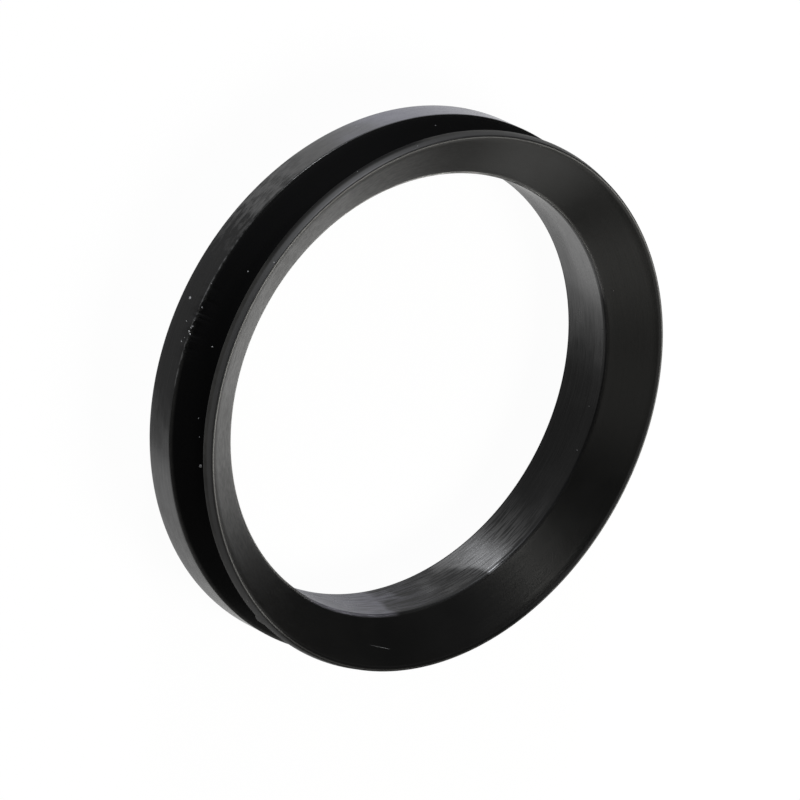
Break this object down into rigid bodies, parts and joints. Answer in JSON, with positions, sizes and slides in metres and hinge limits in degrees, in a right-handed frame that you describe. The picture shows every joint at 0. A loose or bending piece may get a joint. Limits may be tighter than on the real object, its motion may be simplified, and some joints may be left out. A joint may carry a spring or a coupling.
{
  "type": "v-ring seal",
  "caption": "Black rubber V-ring shaft seal: a one-piece ring with a flat back, a V groove and a flexible conical lip that seals against a flat counterface.",
  "frame": {"origin": "centre of the ring on its flat back face", "axes": "+Z along the ring's axis from the flat back towards the lip; the ring is the same all round, so +X and +Y are any two directions across it"},
  "size_m": [0.055, 0.055, 0.0093],
  "materials": {
    "rubber": "moulded matte black with a faint sheen"
  },
  "bodies": {
    "root": {"v_ring": "rubber"}
  },
  "joints": []
}
